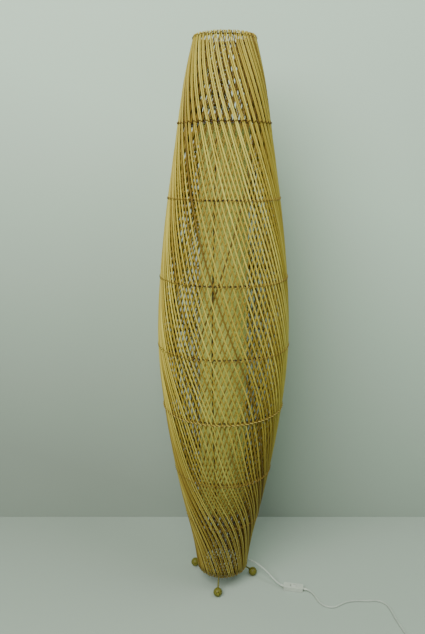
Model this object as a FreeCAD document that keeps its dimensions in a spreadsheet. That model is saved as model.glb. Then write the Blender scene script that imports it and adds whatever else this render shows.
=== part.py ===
"""Tall cigar-shaped floor lamp: two crossing layers of reeds tied over hoops round a pale sleeve.

Millimetres, +Z up. The origin is on the lamp's axis, on the floor. An azimuth is measured from the
front (-Y) towards the right (+X). Levels run from the rim down to the bottom hoop.
"""
import FreeCAD, Part
import math
import os
import Sketcher

from FreeCAD import Placement, Rotation, Vector

DOC = FreeCAD.newDocument("FloorLamp")
UP = Vector(0, 0, 1)
SUB_PARTS = []

# ---------------------------------------------------------------- driving dimensions

SIZES = {
    # lattice: height and radius of the outer skin at each level
    "rim_height": 1483, "rim_radius": 76.5,
    "neck_height": 1390, "neck_radius": 98.5,
    "row_one_height": 1292, "row_one_radius": 114.5,
    "row_two_height": 1113, "row_two_radius": 142,
    "row_three_height": 914, "row_three_radius": 165.5,
    "row_four_height": 733, "row_four_radius": 174,
    "row_five_height": 561, "row_five_radius": 161.5,
    "row_six_height": 373, "row_six_radius": 133.5,
    "row_seven_height": 225, "row_seven_radius": 104.5,
    "ankle_height": 139, "ankle_radius": 86,
    "hem_height": 53, "hem_radius": 73.5,
    # reeds: pairs in each layer, and how far they lean in the bay below each level
    "reed_pairs": 42, "reed_dia": 3.6, "pair_gap": 0.3, "end_gap": 0.4,
    "rim_lean": 15.5, "neck_lean": 15.5, "row_one_lean": 15.5, "row_two_lean": 17, "row_three_lean": 19.5,
    "row_four_lean": 20, "row_five_lean": 16.5, "row_six_lean": 22, "row_seven_lean": 18, "ankle_lean": 18,
    "layer_step": 4.6, "tip_above": 6.5, "tip_below": 6,
    "hoop_dia": 4, "hoop_inset": 11.6, "twine_dia": 2,
    # ribs, legs and feet
    "rib_dia": 4, "rib_inset": 16.6,
    "front_azimuth": -10.8, "left_azimuth": -121, "right_azimuth": 93,
    "front_toe": 1.5, "left_toe": 0, "right_toe": 0,
    "front_reach": 86, "left_reach": 95, "right_reach": 91.5,
    "foot_dia": 25, "foot_flat": 0.5, "ankle_drop": 17,
    # pale sleeve and what holds it
    "sleeve_radius": 65, "sleeve_wall": 1, "sleeve_bottom": 239, "sleeve_top": 1291,
    "ring_dia": 3, "ring_gap": 0.3,
    # spider, conduit and the parts on it
    "hub_radius": 16, "hub_thickness": 4, "hub_bore": 5.1, "arm_dia": 4, "arm_azimuth": 37,
    "conduit_radius": 5, "conduit_bore": 4, "conduit_bottom": 38, "conduit_top": 965,
    "nut_flats": 14, "nut_height": 4, "lead_dia": 5,
    "grip_radius": 9, "grip_height": 16, "grip_bottom": 30.8,
    "relief_length": 28, "relief_root": 5.2, "relief_tip": 3.6, "relief_azimuth": 110,
    "bracket_offset": 32, "bracket_width": 20, "bracket_thickness": 3, "bracket_height": 330,
    "nipple_length": 22,
    # lampholders and bulbs
    "holder_radius": 13, "holder_wall": 1.5, "holder_cap": 18, "holder_length": 55,
    "upper_holder_height": 957, "lower_holder_height": 336,
    "liner_radius": 8.5, "liner_bore": 7.3, "liner_bottom": 31, "seat_height": 24, "seat_thickness": 5,
    "seat_bore": 1.4, "seat_play": 0.1,
    "screw_radius": 6.9, "screw_bottom": 32, "globe_radius": 22.5, "globe_height": 88, "glass_wall": 1,
    # cord, inline switch and plug
    "cord_dia": 5.6,
    "switch_length": 57, "switch_width": 22, "switch_half": 6.5, "switch_wall": 2.5,
    "switch_cavity": 40, "rocker_length": 14.6, "rocker_width": 8.4, "rocker_tilt": 7,
    "window_length": 16.4, "window_width": 9.2, "pivot_height": 10, "pivot_radius": 0.8,
    "pivot_play": 0.05, "rocker_up": 3.4, "rocker_dish": 2.2, "rocker_down": 2.5,
    "coil_layers": 2, "coil_turns": 3, "coil_middle": 31,
    "plug_width": 35.3, "plug_thickness": 13.6, "plug_length": 36, "plug_back": 15,
    "pin_radius": 2, "pin_length": 19, "pin_spacing": 18.6, "boot_length": 28,
}


class Dim:
    """A size with the spreadsheet expression that gives it."""

    def __init__(self, value, text):
        self.value = float(value)
        self.text = text

    def __add__(self, other):
        other = as_dim(other)
        return Dim(self.value + other.value, f"({self.text} + {other.text})")

    def __sub__(self, other):
        other = as_dim(other)
        return Dim(self.value - other.value, f"({self.text} - {other.text})")

    def __mul__(self, other):
        other = as_dim(other)
        return Dim(self.value * other.value, f"({self.text} * {other.text})")

    def __truediv__(self, other):
        other = as_dim(other)
        return Dim(self.value / other.value, f"({self.text} / {other.text})")

    def __neg__(self):
        return as_dim(0) - self


def as_dim(number):
    return number if isinstance(number, Dim) else Dim(number, str(float(number)))


def make_sheet():
    sheet = DOC.addObject("Spreadsheet::Sheet", "dims")
    for row, (alias, value) in enumerate(SIZES.items(), start=1):
        sheet.set(f"A{row}", alias)
        sheet.set(f"B{row}", str(value))
        sheet.setAlias(f"B{row}", alias)
    DOC.recompute()
    return {alias: Dim(sheet.get(alias), f"dims.{alias}") for alias in SIZES}


D = make_sheet()


def size(alias):
    """The plain number of one cell."""
    return D[alias].value


def bind(item, prop, dim):
    item.setExpression(prop, as_dim(dim).text)


def sub_part(item, node, placement=None):
    """Name a finished sub-part and put it in its place."""
    item.Label = node
    if placement is not None:
        item.Placement = placement
    SUB_PARTS.append(item)
    return item


def raised(height, x=0.0, y=0.0):
    return Placement(Vector(x, y, as_dim(height).value), Rotation())


# ---------------------------------------------------------------- building blocks


def cylinder(name, radius, height, placement=None):
    item = DOC.addObject("Part::Cylinder", name)
    bind(item, "Radius", radius)
    bind(item, "Height", height)
    if placement is not None:
        item.Placement = placement
    return item


def cut(name, base, tool):
    item = DOC.addObject("Part::Cut", name)
    item.Base = base
    item.Tool = tool
    return item


def feature(node, shape, placement=None):
    """A sub-part whose shape is worked out in code from the sheet."""
    item = DOC.addObject("Part::Feature", node)
    item.Shape = shape
    return sub_part(item, node, placement or Placement())


def body(name):
    return DOC.addObject("PartDesign::Body", name)


def plane_of(owner, role):
    return next(f for f in owner.Origin.OriginFeatures if f.Role == role)


def sketch_on(owner, role, offset=0.0):
    sketch = owner.newObject("Sketcher::SketchObject", f"{owner.Name}Sketch")
    sketch.AttachmentSupport = (plane_of(owner, role), "")
    sketch.MapMode = "FlatFace"
    sketch.AttachmentOffset = raised(offset)
    return sketch


def bound_constraint(sketch, kind, geometry, point, dim):
    name = f"{kind}{geometry}p{point}"
    index = sketch.addConstraint(Sketcher.Constraint(kind, geometry, point, dim.value))
    sketch.renameConstraint(index, name)
    sketch.setExpression(f"Constraints.{name}", dim.text)


def polygon_sketch(owner, role, points, offset=0.0):
    """A closed outline whose corners are all bound to the sheet."""
    sketch = sketch_on(owner, role, offset)
    corners = [(as_dim(x), as_dim(y)) for x, y in points]
    flat = [Vector(x.value, y.value, 0) for x, y in corners]
    count = len(flat)
    for i in range(count):
        sketch.addGeometry(Part.LineSegment(flat[i], flat[(i + 1) % count]), False)
    for i in range(count):
        sketch.addConstraint(Sketcher.Constraint("Coincident", i, 2, (i + 1) % count, 1))
    for i, (x, y) in enumerate(corners):
        bound_constraint(sketch, "DistanceX", i, 1, x)
        bound_constraint(sketch, "DistanceY", i, 1, y)
    return sketch


def circle_sketch(owner, role, x, y, radius, offset=0.0):
    sketch = sketch_on(owner, role, offset)
    centre = Vector(as_dim(x).value, as_dim(y).value, 0)
    sketch.addGeometry(Part.Circle(centre, UP, radius.value), False)
    bound_constraint(sketch, "DistanceX", 0, 3, as_dim(x))
    bound_constraint(sketch, "DistanceY", 0, 3, as_dim(y))
    index = sketch.addConstraint(Sketcher.Constraint("Radius", 0, radius.value))
    sketch.setExpression(f"Constraints[{index}]", radius.text)
    return sketch


def rectangle(length, width, x=0.0, y=0.0):
    half_x, half_y = as_dim(length) / 2, as_dim(width) / 2
    x, y = as_dim(x), as_dim(y)
    near, far = y - half_y, y + half_y
    return [(x - half_x, near), (x + half_x, near), (x + half_x, far), (x - half_x, far)]


def pad(owner, sketch, length):
    item = owner.newObject("PartDesign::Pad", f"{owner.Name}Pad")
    item.Profile = sketch
    bind(item, "Length", length)
    DOC.recompute()
    return item


def pocket(owner, sketch, length, upward):
    """A pocket; it has to take material away, whichever way its sketch faces."""
    before = owner.Shape.Volume
    item = owner.newObject("PartDesign::Pocket", f"{owner.Name}Pocket")
    item.Profile = sketch
    item.Reversed = upward
    bind(item, "Length", length)
    DOC.recompute()
    if owner.Shape.Volume >= before - 1e-6:
        raise RuntimeError(f"{item.Name} cuts nothing")
    return item


def revolved(node, points, placement=None):
    """A body turned about its own Z axis from a closed outline of (radius, height) corners."""
    owner = body(node)
    sketch = polygon_sketch(owner, "XZ_Plane", points)
    item = owner.newObject("PartDesign::Revolution", f"{node}Revolution")
    item.Profile = sketch
    item.ReferenceAxis = (sketch, ["V_Axis"])
    item.Angle = 360.0
    DOC.recompute()
    return sub_part(owner, node, placement)


def fillet_uprights(owner, base, radius):
    """Round the vertical edges of the feature that a body has so far."""
    names = []
    for number, edge in enumerate(base.Shape.Edges, start=1):
        ends = [v.Point for v in edge.Vertexes]
        if len(ends) == 2 and abs(ends[0].z - ends[1].z) > 0.99 * edge.Length:
            names.append(f"Edge{number}")
    item = owner.newObject("PartDesign::Fillet", f"{owner.Name}Fillet")
    item.Base = (base, names)
    item.Radius = radius
    DOC.recompute()
    return item


def rod(start, end, radius):
    return Part.makeCylinder(radius, (end - start).Length, start, end - start)


def bent_rod(points, radius):
    """One solid along straight runs, with a ball at each bend."""
    runs = [rod(a, b, radius) for a, b in zip(points, points[1:])]
    bends = [Part.makeSphere(radius, p) for p in points[1:-1]]
    return runs[0].multiFuse(runs[1:] + bends).removeSplitter()


def polar(radius, azimuth, height):
    """A point from its radius, its azimuth in radians and its height."""
    return Vector(radius * math.sin(azimuth), -radius * math.cos(azimuth), height)


# ---------------------------------------------------------------- lattice

LEVELS = [
    "rim", "neck", "row_one", "row_two", "row_three", "row_four",
    "row_five", "row_six", "row_seven", "ankle", "hem",
]
ROWS = [level for level in LEVELS if level not in ("neck", "ankle")]
BOUND_IN_PAIRS = ["rim", "neck", "row_one", "row_seven", "ankle", "hem"]
SIDES = ["front", "left", "right"]


def level_points():
    """Height and skin radius of each level, with the reed tips beyond the first and the last."""
    points = [(size(f"{level}_height"), size(f"{level}_radius")) for level in LEVELS]
    (z0, r0), (z1, r1) = points[0], points[1]
    (z8, r8), (z9, r9) = points[-2], points[-1]
    top = (z0 + size("tip_above"), r0 + size("tip_above") * (r0 - r1) / (z0 - z1))
    bottom = (z9 - size("tip_below"), r9 - size("tip_below") * (r8 - r9) / (z8 - z9))
    return [top] + points + [bottom]


def level_turns(points):
    """How far a reed has turned round the axis at each level; at a row the two layers cross."""
    pitch = math.pi / size("reed_pairs")
    leans = [size(f"{LEVELS[0]}_lean")] + [size(f"{level}_lean") for level in LEVELS[:-1]]
    leans.append(leans[-1])
    turns = [0.0]
    for lean, (z_a, r_a), (z_b, r_b) in zip(leans, points, points[1:]):
        turns.append(turns[-1] + math.tan(math.radians(lean)) * (z_a - z_b) / ((r_a + r_b) / 2))
    start = turns[1]
    for i, level in enumerate(LEVELS, start=1):
        if level in ROWS:
            step = pitch if level in BOUND_IN_PAIRS else pitch / 2
            turns[i] = start + round((turns[i] - start) / step) * step
    turns[-1] = turns[-2] + math.tan(math.radians(leans[-1])) * size("tip_below") / points[-1][1]
    return [turn - start for turn in turns]


def reed_offsets(points, inset):
    """Half the angle between the two reeds of a pair at each level: side by side, or spread evenly."""
    even = math.pi / size("reed_pairs") / 2
    lean = math.cos(math.radians(size("row_six_lean")))
    beside = (size("reed_dia") + size("pair_gap")) / lean / 2
    levels = [LEVELS[0]] + LEVELS + [LEVELS[-1]]
    offsets = []
    for level, (_, radius) in zip(levels, points):
        offsets.append(beside / (radius - inset) if level in BOUND_IN_PAIRS else even)
    return offsets


def reed_layer(inset, way):
    """Straight pieces of reed from level to level; way is 1 where a reed runs to the right going down."""
    radius = size("reed_dia") / 2
    gap = size("end_gap")
    count = int(size("reed_pairs"))
    points = level_points()
    turns = level_turns(points)
    offsets = reed_offsets(points, inset)
    # the tips belong to the first and the last bay
    stops = [0] + list(range(2, len(points) - 2)) + [len(points) - 1]
    pieces = []
    for n in range(2 * count):
        first = 2 * math.pi * (n // 2) / count
        hand = 1 if n % 2 else -1
        for i, j in zip(stops, stops[1:]):
            a, b = (
                polar(points[k][1] - inset, first + way * turns[k] + hand * offsets[k], points[k][0])
                for k in (i, j)
            )
            along = (b - a).normalize()
            pieces.append(rod(a + along * gap, b - along * gap, radius))
    return Part.makeCompound(pieces)


def make_lattice():
    outer_inset = size("reed_dia") / 2
    feature("outer_reeds", reed_layer(outer_inset, 1))
    feature("inner_reeds", reed_layer(outer_inset + size("layer_step"), -1))
    for row in ROWS:
        hoop = DOC.addObject("Part::Torus", f"{row}_hoop")
        bind(hoop, "Radius1", D[f"{row}_radius"] - D["hoop_inset"])
        bind(hoop, "Radius2", D["hoop_dia"] / 2)
        sub_part(hoop, f"{row}_hoop", raised(D[f"{row}_height"]))
    thread = size("twine_dia") / 2
    rings = []
    for row in ROWS:
        around = size(f"{row}_radius") + thread + 0.3
        rings.append(Part.makeTorus(around, thread, Vector(0, 0, size(f"{row}_height"))))
    feature("twined_ties", Part.makeCompound(rings))


def rib_point(side, level):
    radius = size(f"{level}_radius") - size("rib_inset")
    return polar(radius, math.radians(size(f"{side}_azimuth")), size(f"{level}_height"))


def make_ribs_and_feet():
    """Three rods inside the hoops, each with a bent leg welded on below and a wooden ball for a foot."""
    radius = size("rib_dia") / 2
    ball = D["foot_dia"] / 2
    for side in SIDES:
        ribs = [rib_point(side, level) for level in LEVELS]
        feature(f"{side}_rib", bent_rod(ribs, radius))
        azimuth = math.radians(size(f"{side}_azimuth"))
        toe = math.radians(size(f"{side}_azimuth") + size(f"{side}_toe"))
        weld = ribs[-1]
        onward = (weld - ribs[-2]).normalize()
        inner = size("hem_radius") - size("rib_inset")
        reach = size(f"{side}_reach")
        leg = [
            weld + onward * 0.05,
            weld + onward * 0.4 * size("ankle_drop"),
            polar(inner + 5, azimuth, weld.z - size("ankle_drop")),
            polar(reach - 3, toe, ball.value + 4),
        ]
        feature(f"{side}_leg", bent_rod(leg, radius))
        foot = DOC.addObject("Part::Sphere", f"{side}_ball")
        bind(foot, "Radius", ball)
        floor_cut = DOC.addObject("Part::Box", f"{side}_ball_flat")
        for side_of_box in ("Length", "Width"):
            bind(floor_cut, side_of_box, D["foot_dia"] * 2)
        bind(floor_cut, "Height", D["foot_dia"])
        under = -(ball + D["foot_dia"] - D["foot_flat"])
        floor_cut.Placement = raised(under, -size("foot_dia"), -size("foot_dia"))
        foot_part = cut(f"{side}_foot", foot, floor_cut)
        at = polar(reach, toe, ball.value - size("foot_flat"))
        sub_part(foot_part, f"{side}_foot", Placement(at, Rotation()))


# ---------------------------------------------------------------- sleeve


def make_sleeve():
    tall = D["sleeve_top"] - D["sleeve_bottom"]
    outside = cylinder("sleeve_outside", D["sleeve_radius"], tall)
    inside = cylinder("sleeve_inside", D["sleeve_radius"] - D["sleeve_wall"], tall)
    sleeve = cut("sleeve", outside, inside)
    sub_part(sleeve, "sleeve", raised(D["sleeve_bottom"]))
    wire = D["ring_dia"] / 2
    ring_radius = D["sleeve_radius"] + D["ring_gap"] + wire
    heights = {"upper": D["sleeve_top"] - wire, "lower": D["sleeve_bottom"] + wire}
    levels = {"upper": "row_one", "lower": "row_seven"}
    spokes = []
    for name, height in heights.items():
        ring = DOC.addObject("Part::Torus", f"{name}_sleeve_ring")
        bind(ring, "Radius1", ring_radius)
        bind(ring, "Radius2", wire)
        sub_part(ring, f"{name}_sleeve_ring", raised(height))
        start = (ring_radius + wire).value + 0.1
        end = size(f"{levels[name]}_radius") - size("rib_inset") - size("rib_dia") / 2 - 0.6
        for side in SIDES:
            azimuth = math.radians(size(f"{side}_azimuth"))
            from_ring = polar(start, azimuth, height.value)
            spokes.append(rod(from_ring, polar(end, azimuth, height.value), wire.value))
    feature("sleeve_spokes", Part.makeCompound(spokes))


# ---------------------------------------------------------------- spider, conduit and lampholders


def make_spider():
    hem = D["hem_height"]
    thick = D["hub_thickness"]
    hub = body("spider_hub")
    pad(hub, circle_sketch(hub, "XY_Plane", 0, 0, D["hub_radius"]), thick)
    pocket(hub, circle_sketch(hub, "XY_Plane", 0, 0, D["hub_bore"]), thick, upward=True)
    sub_part(hub, "spider_hub", raised(hem - thick / 2))
    reach = size("hem_radius") - size("hoop_inset") - size("hoop_dia") / 2 - 0.1
    arms = []
    for n in range(3):
        azimuth = math.radians(size("arm_azimuth") + 120 * n)
        start = polar(size("hub_radius") + 0.1, azimuth, hem.value)
        arms.append(rod(start, polar(reach, azimuth, hem.value), size("arm_dia") / 2))
    feature("spider_arms", Part.makeCompound(arms))


def tube(node, outer, inner, height, placement):
    outside = cylinder(f"{node}_outside", outer, height)
    inside = cylinder(f"{node}_inside", inner, height)
    return sub_part(cut(node, outside, inside), node, placement)


def hex_nut(height):
    """A plain hexagonal nut, with a clearance bore for the conduit's thread."""
    corner = size("nut_flats") / math.sqrt(3)
    corners = [polar(corner, math.radians(60 * n), height) for n in range(7)]
    solid = Part.Face(Part.makePolygon(corners)).extrude(Vector(0, 0, size("nut_height")))
    return solid.cut(Part.makeCylinder(size("hub_bore"), size("nut_height"), Vector(0, 0, height)))


def make_conduit():
    tall = D["conduit_top"] - D["conduit_bottom"]
    tube("conduit", D["conduit_radius"], D["conduit_bore"], tall, raised(D["conduit_bottom"]))
    half_hub = size("hub_thickness") / 2
    hem = size("hem_height")
    low, high = hem - half_hub - size("nut_height") - 0.05, hem + half_hub + 0.05
    plate, thick = size("bracket_height"), size("bracket_thickness")
    offset = Vector(size("bracket_offset"), 0, 0)
    nuts = [hex_nut(low), hex_nut(high)]
    for height in (plate - size("nut_height") - 0.05, plate + thick + 0.05):
        nuts.append(hex_nut(height))
    side_nut = hex_nut(plate - size("nut_height") - 0.05)
    side_nut.translate(offset)
    feature("conduit_nuts", Part.makeCompound(nuts + [side_nut]))
    bracket = body("holder_bracket")
    length = D["bracket_offset"] + D["bracket_width"]
    outline = rectangle(length, D["bracket_width"], D["bracket_offset"] / 2)
    blank = pad(bracket, polygon_sketch(bracket, "XY_Plane", outline), D["bracket_thickness"])
    fillet_uprights(bracket, blank, 0.4 * size("bracket_width"))
    for x in (as_dim(0), D["bracket_offset"]):
        hole = circle_sketch(bracket, "XY_Plane", x, 0, D["hub_bore"])
        pocket(bracket, hole, D["bracket_thickness"], upward=True)
    sub_part(bracket, "holder_bracket", raised(plate))
    nipple_bottom = plate - size("nut_height") - 2
    place = raised(nipple_bottom, size("bracket_offset"))
    tube("bracket_nipple", D["conduit_radius"], D["conduit_bore"], D["nipple_length"], place)
    lead = size("lead_dia") / 2
    conduit_lead = Part.makeCylinder(lead, tall.value - 2, Vector(0, 0, size("conduit_bottom") + 6))
    beside = size("conduit_radius") + lead + 3.5
    branch = [
        Vector(beside, 0, hem + 12), Vector(beside, 0, plate - 52),
        Vector(size("bracket_offset"), 0, plate - 26), Vector(size("bracket_offset"), 0, plate + 24),
    ]
    feature("internal_leads", Part.makeCompound([conduit_lead, bent_rod(branch, lead)]))


def make_grip():
    """The side-entry grip screwed on below the conduit, and the tapered relief that the cord leaves by."""
    grip = body("cord_grip")
    pad(grip, circle_sketch(grip, "XY_Plane", 0, 0, D["grip_radius"]), D["grip_height"])
    blind = D["grip_bottom"] + D["grip_height"] - D["conduit_bottom"] + 0.1
    socket = circle_sketch(grip, "XY_Plane", 0, 0, D["hub_bore"], size("grip_height") - blind.value)
    pocket(grip, socket, blind, upward=True)
    sub_part(grip, "cord_grip", raised(D["grip_bottom"]))
    relief = DOC.addObject("Part::Cone", "strain_relief")
    bind(relief, "Radius1", D["relief_root"])
    bind(relief, "Radius2", D["relief_tip"])
    bind(relief, "Height", D["relief_length"])
    azimuth = math.radians(size("relief_azimuth"))
    root = polar(size("grip_radius") + 0.05, azimuth, LAMP_ROUTE[0][2])
    sub_part(relief, "strain_relief", Placement(root, Rotation(UP, polar(1, azimuth, 0))))


def ring_outline(inner, outer, bottom, top):
    return [(inner, bottom), (outer, bottom), (outer, top), (inner, top)]


def make_holder(name, x, base):
    """A small screw lampholder on a hollow stem, with its bulb; heights are from the holder's bottom."""
    place = raised(base, x)
    radius, wall = D["holder_radius"], D["holder_wall"]
    neck, top = D["hub_bore"], D["holder_cap"]
    bore, floor = radius - wall, wall * 2
    cap = [(neck, 0), (radius, 0), (radius, top), (bore, top), (bore, floor), (neck, floor)]
    revolved(f"{name}_holder_cap", cap, place)
    shell = ring_outline(bore, radius, top + 0.1, D["holder_length"])
    revolved(f"{name}_holder_shell", shell, place)
    seat_top = D["seat_height"] + D["seat_thickness"]
    seat = ring_outline(D["seat_bore"], radius - wall - D["seat_play"], D["seat_height"], seat_top)
    revolved(f"{name}_holder_seat", seat, place)
    revolved(
        f"{name}_holder_liner",
        ring_outline(D["liner_bore"], D["liner_radius"], D["liner_bottom"], D["holder_length"] - 1),
        place,
    )
    screw = [(0, D["screw_bottom"] - 1.5), (D["screw_radius"] / 3, D["screw_bottom"] - 1.5)]
    screw += [(D["screw_radius"] * 0.8, D["screw_bottom"] + 2), (D["screw_radius"], D["screw_bottom"] + 4)]
    screw += [(D["screw_radius"], D["holder_length"] + 1), (0, D["holder_length"] + 1)]
    revolved(f"{name}_bulb_cap", screw, place)
    neck_bottom = D["holder_length"] + 1.05
    cone = DOC.addObject("Part::Cone", f"{name}_bulb_neck")
    bind(cone, "Radius1", D["screw_radius"] + 1)
    bind(cone, "Radius2", D["globe_radius"] * 0.8)
    bind(cone, "Height", D["globe_height"] - D["globe_radius"] * 0.6 - neck_bottom)
    cone.Placement = raised(neck_bottom)
    globe = DOC.addObject("Part::Sphere", f"{name}_bulb_globe")
    bind(globe, "Radius", D["globe_radius"])
    globe.Placement = raised(D["globe_height"])
    glass = DOC.addObject("Part::Fuse", f"{name}_bulb_outside")
    glass.Base = cone
    glass.Tool = globe
    hollow = DOC.addObject("Part::Sphere", f"{name}_bulb_hollow")
    bind(hollow, "Radius", D["globe_radius"] - D["glass_wall"])
    hollow.Placement = raised(D["globe_height"])
    sub_part(cut(f"{name}_bulb_glass", glass, hollow), f"{name}_bulb_glass", place)


# ---------------------------------------------------------------- inline switch

SWITCH_PLACE = Placement(Vector(205.3, -58.6, 0), Rotation(UP, -11))


def make_switch():
    """Two half shells clamped on the cord, with a rocker on a pin; local X runs along the cord."""
    length, width, half = D["switch_length"], D["switch_width"], D["switch_half"]
    wall, cavity = D["switch_wall"], D["switch_cavity"]
    room = width - wall * 2
    base = body("switch_base")
    blank = pad(base, polygon_sketch(base, "XY_Plane", rectangle(length, width)), half)
    fillet_uprights(base, blank, 4.0)
    trough = polygon_sketch(base, "XY_Plane", rectangle(cavity, room), wall.value)
    pocket(base, trough, half - wall, upward=True)
    sub_part(base, "switch_base", SWITCH_PLACE)

    cover = body("switch_cover")
    blank = pad(cover, polygon_sketch(cover, "XY_Plane", rectangle(length, width)), half)
    fillet_uprights(cover, blank, 4.0)
    trough = polygon_sketch(cover, "XY_Plane", rectangle(cavity, room))
    pocket(cover, trough, half - wall / 2, upward=True)
    window = polygon_sketch(cover, "XY_Plane", rectangle(D["window_length"], D["window_width"]))
    pocket(cover, window, half, upward=True)
    sub_part(cover, "switch_cover", SWITCH_PLACE.multiply(raised(half + 0.05)))

    rocker = body("switch_rocker")
    reach = D["rocker_length"] / 2
    outline = [
        (-(reach * 0.65), -D["rocker_down"]), (reach * 0.65, -D["rocker_down"]),
        (reach, D["rocker_up"]), (0, D["rocker_dish"]), (-reach, D["rocker_up"]),
    ]
    sketch = polygon_sketch(rocker, "XZ_Plane", outline)
    solid = pad(rocker, sketch, D["rocker_width"])
    solid.Midplane = True
    DOC.recompute()
    bore = circle_sketch(rocker, "XZ_Plane", 0, 0, D["pivot_radius"] + D["pivot_play"])
    hole = pocket(rocker, bore, D["rocker_width"], upward=False)
    hole.Midplane = True
    DOC.recompute()
    tilt = Placement(Vector(0, 0, size("pivot_height")), Rotation(Vector(0, 1, 0), size("rocker_tilt")))
    sub_part(rocker, "switch_rocker", SWITCH_PLACE.multiply(tilt))

    long_pin = room - 0.2
    pin = cylinder("switch_pivot", D["pivot_radius"], long_pin)
    start = Vector(0, -long_pin.value / 2, size("pivot_height"))
    sub_part(pin, "switch_pivot", SWITCH_PLACE.multiply(Placement(start, Rotation(UP, Vector(0, 1, 0)))))

    strips, screws = [], []
    for way in (-1, 1):
        strips.append(Part.makeBox(12, 3, 1, Vector(way * 12 - 6, way * 5 - 1.5, wall.value + 0.05)))
        shank = Part.makeCylinder(1.4, 9, Vector(way * 24, way * 6.5, 1.2))
        head = Part.makeCylinder(2.4, 1, Vector(way * 24, way * 6.5, 0.2))
        screws.append(shank.fuse(head))
    feature("switch_contacts", Part.makeCompound(strips), SWITCH_PLACE)
    feature("switch_screws", Part.makeCompound(screws), SWITCH_PLACE)


# ---------------------------------------------------------------- cord

COIL_CENTRE = Vector(446, -316, 0)
COIL_REACH = SIZES["coil_middle"] + (SIZES["coil_turns"] - 1) * SIZES["cord_dia"] / 2

# from the strain relief, under the hem behind the right leg and down to the switch
LAMP_ROUTE = [
    (34.96, 12.72, 40), (47.9, 17.43, 40), (60.5, 21.4, 40.2), (73, 22.3, 40.5), (85, 18.5, 40.5),
    (95.5, 11.3, 39.8), (105.5, 3, 38.6), (117, -6.8, 36), (129.5, -18.8, 31.2), (142, -30.8, 24),
    (151, -38.8, 18), (160, -45.2, 12.2), (168.5, -50.2, 8.4), (177.2, -53.14, 6.6),
]
# from the switch over the floor to the coil
FLOOR_ROUTE = [
    (233.4, -64.03, 6.6), (246.5, -67.2, 5.4), (256.5, -75.5, 3.8), (263, -88, 3.0), (267.5, -104, 2.8),
    (275, -120.5, 2.8), (286.5, -131, 2.8), (300.5, -134.8, 2.8), (315, -132.6, 2.8), (332.5, -121, 2.8),
    (352, -111.5, 2.8), (380, -108, 2.8), (408, -110, 2.8), (428, -107, 2.8), (442.3, -109.8, 2.8),
    (453.8, -118, 2.8), (461, -130, 2.8), (464, -145, 2.8), (467, -172, 2.8), (472, -203, 2.8),
    (479, -233, 2.8), (483.5, -261, 2.8), (484.5, -285, 2.8), (483, -303, 2.8),
]


def corner_arc(before, corner, after):
    """The arc inside one corner of a route, as large as its two runs allow."""
    back = (before - corner)
    ahead = (after - corner)
    turn = math.pi - back.getAngle(ahead)
    shorter = min(back.Length, ahead.Length)
    reach = 0.45 * shorter
    radius = reach / math.tan(turn / 2)
    start = corner + back.normalize() * reach
    end = corner + ahead.normalize() * reach
    inward = (start + end) * 0.5 - corner
    depth = math.hypot(radius, reach) - radius
    return Part.Arc(start, corner + inward.normalize() * depth, end), radius, start, end


def route_tube(name, route):
    """A cord's tube along straight runs and tangent arcs, checked against section times length."""
    points = [Vector(*p) for p in route]
    edges, radii = [], []
    at = points[0]
    for before, corner, after in zip(points, points[1:], points[2:]):
        arc, radius, start, end = corner_arc(before, corner, after)
        edges.append(Part.LineSegment(at, start).toShape())
        edges.append(arc.toShape())
        radii.append(radius)
        at = end
    edges.append(Part.LineSegment(at, points[-1]).toShape())
    path = Part.Wire(edges)
    radius = size("cord_dia") / 2
    section = Part.Wire(Part.makeCircle(radius, points[0], points[1] - points[0]))
    solid = path.makePipeShell([section], True, True)
    expected = math.pi * radius**2 * path.Length
    print(f"{name}: length {path.Length:.1f}, volume ratio {solid.Volume / expected:.5f}")
    print("  arc radii", " ".join(f"{r:.0f}" for r in radii))
    feature(name, solid)
    return path.Length


def make_cords():
    route_tube("cord_lamp_to_switch", LAMP_ROUTE)
    route_tube("cord_switch_to_coil", FLOOR_ROUTE)
    dia = size("cord_dia")
    half_band = size("coil_turns") * dia / 2
    tall = size("coil_layers") * dia
    middle = size("coil_middle")
    ring = Part.makeCylinder(middle + half_band, tall).cut(Part.makeCylinder(middle - half_band, tall))
    rims = [e for e in ring.Edges if isinstance(e.Curve, Part.Circle) and e.Curve.Radius > middle]
    ring = ring.makeFillet(0.45 * dia, rims)
    feature("cord_coil", ring, Placement(COIL_CENTRE, Rotation()))
    length = size("coil_layers") * size("coil_turns") * 2 * math.pi * middle
    print(f"cord_coil: {length:.0f} of cord in its turns")
    leave = COIL_CENTRE.y - COIL_REACH
    tail = [
        (438, leave, 8.4), (426, leave - 0.6, 8.2), (412, leave - 0.2, 7.4), (396, leave, 6.8),
        (383, leave, 6.8),
    ]
    route_tube("cord_coil_to_plug", tail)
    return Vector(383, leave, 6.8)


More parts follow.
